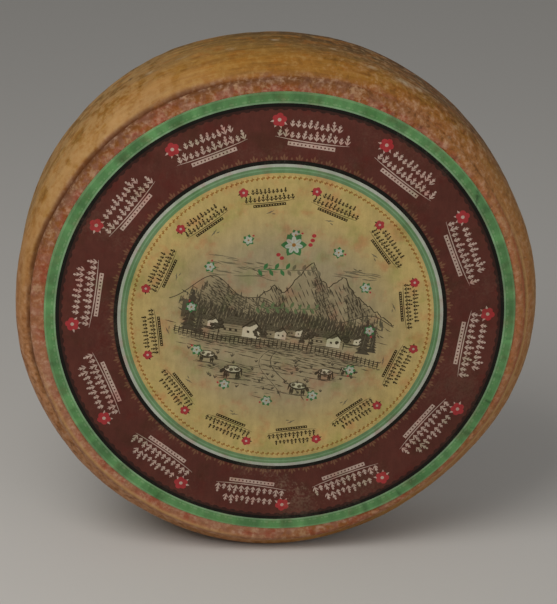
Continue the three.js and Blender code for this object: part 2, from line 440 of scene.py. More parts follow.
# Pale bloom: the dry white film and flecks that washing leaves on rind and on damp paper alike
bloom_group = bpy.data.node_groups.new("pale_bloom", "ShaderNodeTree")
for socket_name, socket_type, start_value in (
    ("Place", "NodeSocketVector", (0, 0, 0)),
    ("Patch Scale", "NodeSocketFloat", 30.0),
    ("Fleck Scale", "NodeSocketFloat", 600.0),
    ("Cover", "NodeSocketFloat", 0.5),
):
    made_socket = bloom_group.interface.new_socket(socket_name, in_out="INPUT", socket_type=socket_type)
    made_socket.default_value = start_value
bloom_group.interface.new_socket("Bloom", in_out="OUTPUT", socket_type="NodeSocketFloat")
bloom_in = bloom_group.nodes.new("NodeGroupInput").outputs
bloom_patch = noise(bloom_group, bloom_in["Place"], bloom_in["Patch Scale"], 4.0)
bloom_fleck = noise(bloom_group, bloom_in["Place"], bloom_in["Fleck Scale"], 2.0)
bloom_level = weighed(bloom_group, bloom_patch, (bloom_fleck, 0.45))
bloom_edge = weighed(bloom_group, 1.12, (bloom_in["Cover"], -0.5))
bloom_mask = stepped(bloom_group, computed(bloom_group, "SUBTRACT", bloom_level, bloom_edge), -0.12, 0.1)
add_node(bloom_group, "NodeGroupOutput", {"Bloom": bloom_mask})


def bloom(tree, place, patch_scale, fleck_scale, cover):
    """The share of pale bloom at a place."""
    inputs = {"Place": place, "Patch Scale": patch_scale, "Fleck Scale": fleck_scale, "Cover": cover}
    return add_node(tree, "ShaderNodeGroup", inputs, node_tree=bloom_group).outputs["Bloom"]


# Washed rind: golden ochre in soft streaks on the side, pink, orange and brown crumbs on the front's margin
TAN = paint(152, 113, 50)
OCHRE = paint(128, 88, 30)
GOLD = paint(154, 98, 30)
CREAM = paint(174, 136, 74)
BROWN = paint(84, 54, 20)
OLIVE = paint(94, 69, 22)
FACE_PINK = paint(150, 101, 76)
FACE_ORANGE = paint(146, 90, 43)
FACE_RED = paint(158, 70, 50)
FACE_PALE = paint(188, 150, 114)
FACE_ROSE = paint(170, 118, 90)
CRUST_GOLD = paint(152, 98, 44)
SUN_ORANGE = paint(186, 136, 84)
ROSE_TAN = paint(194, 136, 96)
BLOND = paint(186, 148, 98)
PALE_CRUMB = paint(226, 190, 160)
UMBER = paint(66, 45, 16)
# The brown of the pits, also laid as painted shade inside the furrow
PIT_AND_SHADE_BROWN = paint(76, 45, 21)
LIP_HIGHLIGHT = paint(184, 142, 90)
FURROW_SHADE_BROWN = paint(84, 43, 15)
BLOOM_WHITE = paint(182, 162, 134)
SPECK_BROWN = paint(52, 36, 22)


rind_material, rind_tree, rind_shader = new_material("washed_rind")
rind_place = add_node(rind_tree, "ShaderNodeTexCoord").outputs["Object"]
rind_middle = {"Location": (-AXIS_X * MM, 0, -AXIS_HEIGHT * MM)}
rind_centred = add_node(rind_tree, "ShaderNodeMapping", {"Vector": rind_place, **rind_middle}).outputs[0]


def along_rim(along, across, detail, roughness):
    """Noise that is longer round the wheel than across its side, in cells to the metre each way."""
    stretch = {"Vector": rind_centred, "Scale": (along, across, along)}
    place = add_node(rind_tree, "ShaderNodeMapping", stretch).outputs[0]
    return noise(rind_tree, place, 1.0, detail, roughness)


def over(value, low, high):
    """Where a value of the rind's tree is over a level: 0 at low, 1 at high, and smooth in between."""
    return stepped(rind_tree, value, low, high)


def laid(base, *layers):
    """Colours laid over a base in turn. Each has a greatest strength, and shares that weaken it."""
    for colour, strength, *layer_shares in layers:
        for share in layer_shares:
            strength = computed(rind_tree, "MULTIPLY", share, strength)
        base = mixed(rind_tree, strength, base, colour)
    return base


streaks = along_rim(20, 240, 4.0, 0.62)
smears = along_rim(14, 64, 4.0, 0.6)
brushed = along_rim(48, 560, 2.0, 0.6)
blotches = along_rim(70, 110, 4.0, 0.6)
patches = noise(rind_tree, rind_centred, 12.0, 4.0)
mottle = noise(rind_tree, rind_centred, 110.0, 4.0, 0.6)
crumbs = noise(rind_tree, rind_centred, 230.0, 3.0, 0.6)
grain = noise(rind_tree, rind_centred, 480.0, 3.0, 0.6)
crumb_dark = over(crumbs, 0.47, 0.34)
crumb_pale = over(crumbs, 0.46, 0.74)
kept = {name: shared(rind_tree, name) for name in (*rind_shares, "scuffed", "stained")}

side_colour = laid(
    mixed(rind_tree, over(patches, 0.38, 0.6), OCHRE, TAN),
    # Darker olive towards the back, painted shade over the top
    (OLIVE, 0.85, kept["back_dark_and_shade"]),
    (GOLD, 0.45, kept["frontward"]),
    # Painted shade over the upper right of the side
    (UMBER, 0.82, kept["upper_right_shade"]),
    (BROWN, 0.18, over(smears, 0.5, 0.7)),
    (GOLD, 0.6, over(blotches, 0.5, 0.64)),
    (BROWN, 0.12, over(blotches, 0.46, 0.34)),
    (BROWN, 0.32, over(streaks, 0.51, 0.68)),
    (CREAM, 0.3, over(streaks, 0.47, 0.32)),
    (BROWN, 0.18, over(brushed, 0.52, 0.66)),
    (CREAM, 0.2, over(brushed, 0.48, 0.34)),
    (CREAM, 0.3, over(crumbs, 0.52, 0.66)),
    (BROWN, 0.16, crumb_dark),
    (BLOND, 0.55, kept["blond"], over(mottle, 0.38, 0.55)),
    (GOLD, 0.4, kept["blond"], over(crumbs, 0.48, 0.38)),
    (BLOND, 0.4, kept["creamy"], over(blotches, 0.42, 0.56)),
    (ROSE_TAN, 0.7, kept["rosy"], over(smears, 0.3, 0.5)),
    (FACE_ORANGE, 0.6, kept["rosy"], over(mottle, 0.42, 0.6)),
    (BROWN, 0.45, kept["rosy"], crumb_dark),
    (PALE_CRUMB, 0.3, kept["rosy"], crumb_pale),
    (FACE_ORANGE, 0.5, kept["crumbly"], over(mottle, 0.45, 0.55)),
    (PALE_CRUMB, 0.28, kept["crumbly"], crumb_pale),
    (PIT_AND_SHADE_BROWN, 0.5, kept["crumbly"], crumb_dark),
)
face_colour = laid(
    mixed(rind_tree, over(mottle, 0.44, 0.56), FACE_ORANGE, FACE_PINK),
    (FACE_ROSE, 0.65, kept["rosy"]),
    (FACE_RED, 0.6, kept["by_label"], over(blotches, 0.48, 0.62)),
    (FACE_RED, 0.25, kept["by_label"], kept["crumbly"]),
    (CRUST_GOLD, 0.8, kept["crusted"]),
    # Painted shade just inside the furrow
    (PIT_AND_SHADE_BROWN, 0.68, kept["furrow_band_shade"]),
    (PALE_CRUMB, 0.36, crumb_pale),
    (FACE_RED, 0.25, over(smears, 0.5, 0.64)),
    (PIT_AND_SHADE_BROWN, 0.6, kept["pitted"], crumb_dark),
    (FACE_PALE, 0.6, bloom(rind_tree, rind_centred, 120.0, 620.0, 0.5)),
    (TAN, 0.6, kept["back"], over(patches, 0.3, 0.6)),
)
rind_colour = laid(
    mixed(rind_tree, kept["side"], face_colour, side_colour),
    (SUN_ORANGE, 0.34, kept["sunny"]),
    (FACE_RED, 0.6, kept["flushed"], over(mottle, 0.36, 0.55)),
    (BLOOM_WHITE, 0.85, kept["scuffed"], over(crumbs, 0.3, 0.52)),
    # Painted highlight: the lips laid pale
    (LIP_HIGHLIGHT, 0.85, kept["lip"], over(crumbs, 0.1, 0.42)),
    # The furrow painted dark: painted shade in its groove, over its own brown rind
    (FURROW_SHADE_BROWN, 0.85, over(kept["furrow"], 0.35, 0.95), over(blotches, 0.2, 0.52)),
    (SPECK_BROWN, 0.8, kept["stained"]),
    (SPECK_BROWN, 0.55, kept["pitted"], over(noise(rind_tree, rind_centred, 260.0, 1.0), 0.74, 0.78)),
)
crumb_height = computed(rind_tree, "MULTIPLY", crumbs, kept["pitted"])
rind_height = weighed(rind_tree, mottle, (grain, 0.5), (streaks, 0.4), (brushed, 0.25), (crumb_height, 1.6))
rind_bump = {"Strength": 0.6, "Distance": 0.001, "Height": rind_height}
rind_normal = add_node(rind_tree, "ShaderNodeBump", rind_bump).outputs[0]
rind_tree.links.new(rind_colour, rind_shader.inputs["Base Color"])
rind_tree.links.new(weighed(rind_tree, 0.38, (mottle, 0.35)), rind_shader.inputs["Roughness"])
rind_tree.links.new(rind_normal, rind_shader.inputs["Normal"])
rind_shader.inputs["Specular IOR Level"].default_value = 0.16
rind.data.materials.append(rind_material)


# The paper label
# A thin disc of damp paper glued to the front face and printed with coloured rings, garlands and an engraved
# pasture. It follows the face's swell, cockles a little and is creased across its green rim.
PAPER_PROUD = 0.42  # how far the print stands in front of the rind
PAPER_BACK = 0.05  # and how far the paper's back does
LABEL_CUT = 0.5  # how far the cut edge strays from a true circle
LABEL_CUT_WAVES = ((2, 1), (3, 0))
PRINT_TURN = 8.2  # degrees clockwise by which the whole print is turned
CIRCLE_STEPS = 360
PRINT_GRID = 4.0  # spacing of the points that let the paper bend between the outlines
CREASE_RINGS = 6
CREASE_TURNS = 1000
CREASE_DEPTH = 11  # how far in from the paper's edge the finer points reach
CREASE_CLEAR = 1.4  # and how far inside the edge they stop
BACK_GRID = 12.0
BACK_CLEAR = 3
CROSSING_TOLERANCE = 1e-5  # points closer than this are one where outlines cross
EDGE_TOLERANCE = 0.001
draw = np.random.default_rng(20)


def placed(local, x, y, angle):
    """Outlines turned by an angle and moved, one for each x and y."""
    cosine, sine = np.cos(angle)[:, None], np.sin(angle)[:, None]
    right = x[:, None] + local[..., 0] * cosine - local[..., 1] * sine
    up = y[:, None] + local[..., 0] * sine + local[..., 1] * cosine
    return np.stack([right, up], axis=-1)


def as_rows(*values):
    """The values as arrays of one length."""
    return np.broadcast_arrays(*(np.atleast_1d(np.asarray(v, float)) for v in values))


def stroke(x, y, angle, length, width, bend=0.0, steps=3):
    """Engraved lines about x, y: strips along a bent line, a quarter as wide at their ends as in the middle.

    The line leaves its straight course by half its bend, by its length, by the square of the share along it.
    """
    x, y, angle, length, width, bend = as_rows(x, y, angle, length, width, bend)
    share = np.linspace(-0.5, 0.5, steps)[None]
    along = share * length[:, None]
    aside = bend[:, None] * length[:, None] * share**2 / 2
    half = width[:, None] * (1 - 3 * share**2) / 2
    right = np.stack([along, aside - half], axis=-1)
    left = np.stack([along, aside + half], axis=-1)[:, ::-1]
    return placed(np.concatenate([right, left], axis=1), x, y, angle)


def leaf(x, y, angle, length, width, steps=5):
    """Pointed leaves that start at x, y: their half width is a half wave of the share along them."""
    x, y, angle, length, width = as_rows(x, y, angle, length, width)
    share = np.linspace(0, 1, steps)[None]
    along = share * length[:, None]
    half = width[:, None] * np.sin(math.pi * share) / 2
    right = np.stack([along, -half], axis=-1)
    left = np.stack([along, half], axis=-1)[:, -2:0:-1]
    return placed(np.concatenate([right, left], axis=1), x, y, angle)


def bead(x, y, wide, high, angle=0.0, steps=8):
    """Ovals about x, y."""
    x, y, wide, high, angle = as_rows(x, y, wide, high, angle)
    turn = np.linspace(0, 2 * math.pi, steps, endpoint=False)[None]
    local = np.stack([wide[:, None] * np.cos(turn), high[:, None] * np.sin(turn)], axis=-1) / 2
    return placed(local, x, y, angle)


def ribbon(x, y, width):
    """One line of even width along points that run from left to right."""
    slope = np.gradient(y, x)
    upright = np.stack([-slope, np.ones_like(slope)], axis=-1) / np.hypot(1, slope)[:, None]
    aside = width / 2 * upright
    middle = np.stack([x, y], axis=-1)
    return np.concatenate([middle - aside, (middle + aside)[::-1]])[None]


def field(x, top, bottom):
    """One area between a top line and a bottom line."""
    x, top, bottom = as_rows(x, top, bottom)
    upper, lower = np.stack([x, top], axis=-1), np.stack([x, bottom], axis=-1)
    return np.concatenate([lower, upper[::-1]])[None]


def turned(shapes, degrees):
    """Outlines turned clockwise about the label's middle."""
    angle = math.radians(degrees)
    spin = np.array([[math.cos(angle), -math.sin(angle)], [math.sin(angle), math.cos(angle)]])
    return shapes @ spin


def round_ring(shapes, count, first=0.0):
    """Copies of outlines turned clockwise in even steps about the label's middle, from a first angle."""
    return np.concatenate([turned(shapes, first + 360 * i / count) for i in range(count)])


def circle(radius):
    """One round field about the label's middle."""
    return bead(0, 0, 2 * radius, 2 * radius, steps=CIRCLE_STEPS)


def cut_edge(turn):
    """Radius of the label's cut edge: true but for a small wave by another."""
    first, second = (count * turn + start for count, start in LABEL_CUT_WAVES)
    return LABEL_RADIUS + LABEL_CUT * np.cos(first) * np.sin(second)


# Inks and the paper's own colour, as seen on the label, 0 to 255
INKS = {
    "paper": (196, 186, 158),
    "green": (91, 137, 85),
    "pale_green": (122, 156, 116),
    "mid_green": (110, 148, 100),
    "grey_green": (104, 134, 94),
    "black": (19, 18, 12),
    "dusk": (56, 32, 26),
    "brown": (89, 46, 37),
    "tan_mark": (116, 80, 58),
    "cream": (186, 162, 148),
    "white": (172, 176, 162),
    "leaf": (62, 112, 64),
    "moss": (98, 112, 74),
    "red": (164, 54, 56),
    "straw": (186, 163, 103),
    "rust": (146, 102, 44),
    "pale_straw": (196, 170, 104),
    "umber": (46, 36, 14),
    "dark": (62, 54, 38),
    "line": (78, 70, 54),
    "soft_line": (112, 104, 80),
    "haze": (140, 130, 100),
    "light": (176, 158, 112),
    "wood": (92, 84, 64),
}
print_layers = []


def ink(name, shapes):
    """Prints outlines in an ink over all that is printed so far."""
    print_layers.append((name, shapes))


def rings(*rows):
    """Prints round fields, each over the one before: an ink, and a share of the label's radius."""
    for name, share in rows:
        ink(name, circle(share * LABEL_RADIUS))


# Rings from the cut edge inwards: green with dashes, brown with scallops and leaf tips, and fine ones
DASH_RING = 0.967 * LABEL_RADIUS
SCALLOP_RING = 0.928 * LABEL_RADIUS
FLAME_SHARE = 0.7075
FLAME_RING = FLAME_SHARE * LABEL_RADIUS
edge_turn = np.linspace(0, 2 * math.pi, CIRCLE_STEPS, endpoint=False)
edge_outline = cut_edge(edge_turn)[:, None] * np.stack([np.cos(edge_turn), np.sin(edge_turn)], axis=-1)
ink("mid_green", edge_outline[None])
rings(("green", 0.992), ("pale_green", 0.9595))
ink("mid_green", round_ring(bead([-1.3, 1.9], DASH_RING, [3.6, 1.4], [1.7, 1.3], steps=6), 114))
rings(("black", 0.952), ("dusk", 0.9365), ("brown", 0.9275))
ink("dusk", round_ring(bead(0, SCALLOP_RING, 4.4, 2.2, steps=7), 150))
flame = leaf([0, -0.9, 0.9], FLAME_RING, np.radians([90, 118, 62]), [4.6, 3.2, 3.2], 1.5, steps=4)
ink("tan_mark", round_ring(flame, 72))
ink("tan_mark", round_ring(leaf(0, FLAME_RING, math.pi / 2, 2.3, 1.4, steps=4), 72, 2.5))
rings(
    ("black", FLAME_SHARE),
    ("white", 0.691),
    ("grey_green", 0.678),
    ("pale_green", 0.669),
    ("grey_green", 0.664),
    ("straw", 0.6515),
)


def plants(left, right, foot, high):
    """A row of small plants with two pairs of leaves, as leaves, stems, and the buds that some have."""
    x = np.arange(left + 0.25 * high, right, 0.6 * high)
    tall = high * draw.uniform(0.66, 1.0, len(x))
    lean = draw.uniform(-0.1, 0.1, len(x))
    leaves = [
        leaf(x, foot + low * tall, math.pi / 2 + lean + side, size * tall, 0.14 * high, steps=4)
        for low, side, size in ((0.05, -0.6, 0.6), (0.05, 0.6, 0.6), (0.5, -0.5, 0.4), (0.5, 0.5, 0.4))
    ]
    stems = stroke(x, foot + tall / 2, math.pi / 2 + lean, tall, 0.17 * high)
    budding = draw.uniform(0, 1, len(x)) > 0.5
    buds = bead((x - lean * tall)[budding], (foot + tall)[budding], 0.24 * high, 0.3 * high, steps=6)
    return np.concatenate(leaves), stems, buds


def garland(scale, height, main, gap):
    """One emblem of a ring: a red flower, two rows of plants, a thin bow under them and a beaded bar."""
    upper = plants(-16.6 * scale, 17.6 * scale, height + 1.5 * scale, 6.6 * scale)
    lower = plants(-24 * scale, 25 * scale, height - 6.3 * scale, 6.9 * scale)
    bow = stroke(0, height - 7.6 * scale, 0, 50 * scale, 0.8 * scale, 0.16, steps=9)
    bar_x = scale * np.linspace(-16, 16, 9)
    bar = field(bar_x, height - 8.7 * scale, height - 11.5 * scale)
    beads_x = scale * np.linspace(-14.4, 14.4, 12)
    beads = bead(beads_x, height - 10.1 * scale, 1.4 * scale, 1.5 * scale, steps=4)
    middle = -24 * scale, height + 5 * scale
    petal_turn = np.radians(90 + 72 * np.arange(5))
    petals_x, petals_y = (2.7 * scale * f(petal_turn) for f in (np.cos, np.sin))
    petals = bead(middle[0] + petals_x, middle[1] + petals_y, 4.6 * scale, 4.6 * scale)
    heart = bead(*middle, 2.6 * scale, 2.6 * scale)
    fronds = leaf(middle[0], middle[1], np.radians([200, 245, 290, 335]), 6.4 * scale, 2.0 * scale, steps=4)
    return (
        (main, fronds), ("red", petals), ("cream", heart),
        (main, bow), (main, bar), (gap, beads),
        *((main, shapes) for shapes in (*upper, *lower)),
    )


GARLANDS = 12
INNER_TURN = 15.5  # degrees by which the inner garlands are turned on from the outer ones
for garland_scale, garland_share, main_ink, gap_ink, extra_turn in (
    (1.0, 0.838, "cream", "brown", 0),
    (0.69, 0.557, "umber", "straw", INNER_TURN),
):
    for emblem_ink, emblem_shapes in garland(garland_scale, garland_share * LABEL_RADIUS, main_ink, gap_ink):
        ink(emblem_ink, round_ring(emblem_shapes, GARLANDS, PRINT_TURN + extra_turn))

# The fine rust-coloured border inside the green line, and a small twig under each inner garland
BORDER_COUNT = 180
BORDER_RING = 0.634 * LABEL_RADIUS
TICK_RING = 0.6245 * LABEL_RADIUS
TWIG_RING = 0.476 * LABEL_RADIUS
border_tick = leaf([0, 0], TICK_RING, np.radians([78, 118]), [3.0, 2.2], 1.0, steps=3)
border_dot = bead(1.3, BORDER_RING, 1.0, 1.3, steps=5)
ink("pale_straw", round_ring(bead(0.5, BORDER_RING, 2.6, 2.8, steps=6), BORDER_COUNT, 1.0))
ink("rust", round_ring(border_tick, BORDER_COUNT))
ink("rust", round_ring(border_dot, BORDER_COUNT))
twig = leaf([-3.4, -0.6, 0.8], TWIG_RING, np.radians([18, 58, -12]), [6.8, 2.6, 3.0], 0.8, steps=4)
ink("soft_line", round_ring(twig, GARLANDS, PRINT_TURN + INNER_TURN))


# The engraved pasture, in mm from the label's middle, before the print's turn
def far_ridge(x):
    """Height of the distant peaks: straight runs between summits and saddles, with small jags."""
    knots = (
        (-30, 2), (-20, 12), (-8, 24), (-1, 19), (9, 36), (15, 45), (22, 33),
        (29, 28), (38, 37), (46, 26), (56, 19), (66, 13), (78, 6),
    )
    along, up = zip(*knots)
    jags = 0.8 * np.sin(2.1 * x) * np.sin(0.83 * x + 1) + 0.5 * np.sin(4.3 * x)
    return np.interp(x, along, up) + jags


def near_hill(x):
    """Height of the wooded hills: three bell curves on a low foot."""
    hills = ((23, -50, 19), (11, -14, 15), (9, 62, 15))  # height, middle, spread
    return sum(height * np.exp(-(((x - middle) / spread) ** 2)) for height, middle, spread in hills) + 2


def wood_top(x):
    """Height of the dark wood's tops at the hills' feet."""
    return 3.5 + 2.6 * np.sin(0.09 * x + 0.6) + 0.9 * np.sin(1.9 * x) * np.sin(0.7 * x)


def fence_line(x):
    """Height of the fence's foot: a slow wave that falls to the right."""
    return -22 - 0.05 * x + 2.2 * np.sin(0.045 * x + 0.5)


def vignette(x, y):
    """1 in the middle of the picture, falling to 0 at its oval edge."""
    return 1 - smoothstep(np.hypot(x / 79, (y + 7) / 56), 0.76, 1.0)


def etch(name, shapes):
    """Prints outlines of the picture in an ink, turned as the print is."""
    ink(name, turned(shapes, PRINT_TURN))


def hatch(name, box, tone, degrees, pitch, length, width, less=0.0, bend=0.0):
    """Parallel engraved strokes over a box, in rows a pitch apart, kept where the tone is above a row's own.

    A dark tone keeps every row, and a light one keeps each second, fourth or eighth. The tone may be taken
    as less than it is.
    """
    angle = math.radians(degrees)
    left, low, right, high = box
    reach = math.hypot(right - left, high - low) / 2
    along = np.arange(-reach, reach, length * 1.1)
    across = np.arange(-reach, reach, pitch)
    s, t = np.meshgrid(along, across)
    row = np.broadcast_to(np.arange(len(across))[:, None], s.shape)
    s = s + row % 2 * length * 0.5 + draw.uniform(-0.2, 0.2, s.shape) * length
    t = t + draw.uniform(-0.18, 0.18, s.shape) * pitch
    x = (left + right) / 2 + s * math.cos(angle) - t * math.sin(angle)
    y = (low + high) / 2 + s * math.sin(angle) + t * math.cos(angle)
    level = np.select([row % 2 == 1, row % 4 == 2, row % 8 == 4], [0.6, 0.4, 0.22], 0.1)
    inside = (x > left) & (x < right) & (y > low) & (y < high)
    keep = inside & (tone(x, y) - less + draw.uniform(-0.08, 0.08, s.shape) > level)
    x, y = x[keep], y[keep]
    count = len(x)
    size = length * draw.uniform(0.7, 1.2, count)
    weight = width * draw.uniform(0.75, 1.25, count)
    etch(name, stroke(x, y, angle + draw.uniform(-0.08, 0.08, count), size, weight, bend))


def firs(x, y, high, tiers=5):
    """Fir trees: a zigzag of drooping tiers on both sides that narrows to the tip."""
    x, y, high = as_rows(x, y, high)
    share = np.repeat(np.arange(tiers), 2) / tiers
    outer = np.arange(2 * tiers) % 2 == 0
    out = np.where(outer, 1.0, 0.45) * (1 - share * 0.86) * 0.21
    up = share + np.where(outer, 0.0, 0.11)
    half = np.stack([out, up], axis=-1)
    local = np.concatenate([half, [[0, 1.0]], (half * (-1, 1))[::-1]])[None] * high[:, None, None]
    return placed(local, x, y, np.zeros_like(x))


def peak_tone(x, y):
    """Shade on the peaks' right flanks, in gullies that lean to the right and thin out downwards."""
    below = far_ridge(x) - y
    at = x - 0.3 * below + 1.5 * np.sin(0.7 * y)
    slope = (far_ridge(at + 1.5) - far_ridge(at - 1.5)) / 3
    gullies = 0.5 + 0.5 * np.sin(0.9 * x + 0.35 * below + 1.4 * np.sin(0.3 * y))
    shade = smoothstep(-slope, -0.2, 0.8) * (1 - 0.45 * smoothstep(below, 14, 36))
    shade = 0.34 + 0.56 * shade + 0.22 * gullies
    return np.where((below > 0.4) & (y > near_hill(x)), shade, 0) * vignette(x, y)


def hill_tone(x, y):
    """Shade on the hills, darker to the right of each crest and at their feet."""
    below = near_hill(x) - y
    turned_away = smoothstep(near_hill(x - 6) - near_hill(x + 6), 0, 7)
    shade = 0.52 + 0.4 * turned_away + 0.3 * smoothstep(below, 5, 16)
    return np.where((below > 0.5) & (y > -6), shade, 0) * vignette(x, y)


def wood_tone(x, y):
    """Shade among the trunks of the wood."""
    return np.where((y < wood_top(x)) & (y > -8), 0.9, 0) * vignette(x, y)


def meadow_tone(x, y):
    """Shade on the meadow, in slow bands, darkest under the wood, by the fence and in a hollow below it."""
    bands = 0.5 + 0.5 * np.sin(0.2 * y + 0.03 * x + 0.9 * np.sin(0.05 * x))
    near_fence = np.exp(-(((y - fence_line(x) + 1) / 4.5) ** 2))
    under_wood = np.exp(-(((y + 9) / 4) ** 2))
    hollow = np.exp(-(((y + 38 - 0.1 * x) / 5) ** 2) - ((x + 10) / 34) ** 2)
    shade = 0.26 + 0.3 * bands + 0.4 * near_fence + 0.4 * under_wood + 0.3 * hollow
    return np.where(y < -6.5, shade, 0) * vignette(x, y)


# From the back to the front: peaks, wooded hills, the wood's edge and the meadow
PEAK_BOX = (-30, -2, 76, 47)  # left, low, right and high
HILL_BOX = (-76, -6, 76, 27)
WOOD_BOX = (-66, -9, 66, 7)
MEADOW_BOX = (-78, -63, 78, -7)
TREES = 210
sweep = np.linspace(-78, 78, 131)
peaks_x = sweep[sweep > -30]
etch("haze", field(peaks_x, far_ridge(peaks_x), -4))
hatch("line", PEAK_BOX, peak_tone, -58, 1.51, 6.3, 0.81)
hatch("dark", PEAK_BOX, peak_tone, -70, 2.35, 5.2, 0.9, less=0.42)
hatch("line", PEAK_BOX, peak_tone, 34, 2.69, 4, 0.56, less=0.3)
etch("dark", ribbon(peaks_x, far_ridge(peaks_x), 0.7))

etch("light", field(sweep, near_hill(sweep), -8))
hatch("line", HILL_BOX, hill_tone, -24, 1.57, 4.5, 0.76, bend=0.5)
hatch("dark", HILL_BOX, hill_tone, -52, 2.58, 3.6, 0.81, less=0.4)
tree_x = np.sort(draw.uniform(-72, 74, TREES))
tree_y = draw.uniform(0, 1, TREES) * near_hill(tree_x) * 0.92
tree_in = vignette(tree_x, tree_y) > draw.uniform(0, 0.8, TREES)
etch("wood", firs(tree_x[tree_in], tree_y[tree_in], draw.uniform(3.0, 5.4, tree_in.sum()), 3))
etch("line", ribbon(sweep, near_hill(sweep), 0.6))

wood_x = sweep[8:-10]
etch("wood", field(wood_x, wood_top(wood_x), -9))
edge_x = np.arange(-64, 65, 2.3)
edge_x = edge_x + draw.uniform(-0.7, 0.7, len(edge_x))
etch("line", firs(edge_x, wood_top(edge_x) - 6, draw.uniform(6.5, 10, len(edge_x)), 4))
hatch("dark", WOOD_BOX, wood_tone, 84, 1.68, 3.8, 0.62, less=0.2)
hatch("haze", WOOD_BOX, wood_tone, 80, 2.58, 2.9, 0.56, less=0.2)

etch("light", field(sweep[4:-4], -8, -24))
hatch("line", MEADOW_BOX, meadow_tone, -4, 1.79, 7.8, 0.69, bend=0.12)
hatch("dark", MEADOW_BOX, meadow_tone, -8, 2.91, 5.6, 0.74, less=0.3, bend=0.2)
hatch("soft_line", MEADOW_BOX, meadow_tone, 8, 2.58, 3.8, 0.56, less=0.1, bend=-0.3)


def chalet(x, y, size):
    """A broad timber house: boarded gable, deep slatted roof, small windows, a smoke hood and a shadow."""
    roof = np.array([[-1.25, 0.62], [0.45, 0.62], [1.0, 0.98], [-0.55, 1.12]])
    gable = np.array([[0.1, 0], [1.0, 0], [1.0, 0.62], [0.62, 1.0], [0.1, 0.62]])
    wall = np.array([[-1.05, 0], [0.1, 0], [0.1, 0.62], [-1.05, 0.62]])
    hood = np.array([[-0.45, 0.98], [-0.28, 0.98], [-0.28, 1.28], [-0.45, 1.28]])
    eave = np.array([[0.02, 0.56], [0.08, 0.5], [0.62, 0.98], [1.1, 0.5], [1.16, 0.56], [0.62, 1.12]])
    parts = ("dark", hood), ("light", wall), ("paper", gable), ("wood", roof), ("dark", eave)
    for part_ink, part in parts:
        etch(part_ink, (part * size + (x, y))[None])
    boards = np.linspace(0.12, 0.54, 4)
    etch("line", stroke(x - 0.47 * size, y + boards * size, 0, 1.12 * size, 0.45))
    panes = np.array([-0.85, -0.55, -0.25, 0.4, 0.75])
    etch("dark", bead(x + panes * size, y + 0.34 * size, 0.17 * size, 0.22 * size, math.pi / 4, 4))
    slats = np.meshgrid(np.linspace(-0.9, 0.45, 7), np.linspace(0.7, 0.98, 3))
    slats_x, slats_y = (c.ravel() for c in slats)
    slats_x = slats_x + (slats_y - 0.62) * 0.9
    etch("dark", stroke(x + slats_x * size, y + slats_y * size, 0.05, 0.16 * size, 0.5))
    etch("dark", stroke(x - 0.05 * size, y, 0, 2.1 * size, 0.8))
    etch("line", stroke(x + 0.1 * size, y - 0.1 * size, -0.05, 2.3 * size, 0.7))


HAMLET = (
    (-50, -12.5, 7.5), (11, -11.5, 7.0), (52, -12, 6.5),
    (-3, -15, 8.5), (-26, -17, 13), (33, -16, 10.5),
)
for house in HAMLET:
    chalet(*house)

# Tall firs beside the houses, and broad-leaved trees of round leafy clumps between them
TALL_FIRS = ((-62, -17, 30), (-55, -19, 21), (-10, -15, 15), (17, -15.5, 13), (60, -18, 26), (66, -16, 17))
BOUGHS = ((0.12, 0.30), (0.26, 0.26), (0.4, 0.21), (0.55, 0.15), (0.7, 0.1))  # share up the fir, spread
CROWNS = ((-41, -10, 5.6), (22, -10, 5.0), (46, -9.5, 4.6), (-14, -11.5, 4.2))
fir_x, fir_y, fir_high = np.transpose(TALL_FIRS)
etch("line", firs(fir_x, fir_y, fir_high, 9))
for bough_share, bough_spread in BOUGHS:
    for bough_side in (-1, 1):
        bough_x = fir_x + bough_side * 0.28 * bough_spread * fir_high
        bough_y = fir_y + bough_share * fir_high
        etch("dark", stroke(bough_x, bough_y, -0.5 * bough_side, bough_spread * fir_high * 0.6, 0.7))
etch("soft_line", stroke(fir_x - 0.3, fir_y + 0.4 * fir_high, math.radians(84), 0.5 * fir_high, 0.4))
for crown_x, crown_y, crown_size in CROWNS:
    etch("dark", stroke(crown_x, crown_y - crown_size * 0.9, math.pi / 2, crown_size * 1.3, 0.9))
    clump_x, clump_y = np.array([[crown_x], [crown_y]]) + draw.normal(0, 0.42, (2, 15)) * crown_size
    etch("dark", bead(clump_x, clump_y, 0.62 * crown_size, 0.5 * crown_size, 0, 7))
    etch("line", bead(clump_x - 0.3, clump_y + 0.4, 0.34 * crown_size, 0.22 * crown_size, 0, 6))

# The fence: three rails on close posts
fence_x = np.linspace(-72, 73, 66)
for rail_height in (0.9, 2.4, 3.9):
    etch("dark", ribbon(fence_x, fence_line(fence_x) + rail_height, 0.5))
posts_x = np.linspace(-71, 72, 49)
etch("dark", stroke(posts_x, fence_line(posts_x) + 2.2, math.pi / 2, 6.2, 1.0))
etch("wood", stroke(posts_x + 1.2, fence_line(posts_x) - 1.2, 0.15, 2.8, 0.9))

# The path from the fence to the picture's foot, drawn by its two edges
path_y = np.linspace(-24, -58, 10)
for path_side, path_width in ((-1, 0.5), (1, 0.8)):
    path_x = 6 + 12 * np.sin(0.11 * (path_y + 18)) + path_side * (2.4 - 0.17 * (path_y + 24))
    run, rise = np.diff(path_x), np.diff(path_y)
    path_middle = path_x[:-1] + run / 2, path_y[:-1] + rise / 2
    etch("line", stroke(*path_middle, np.arctan2(rise, run), np.hypot(run, rise) * 1.15, path_width))


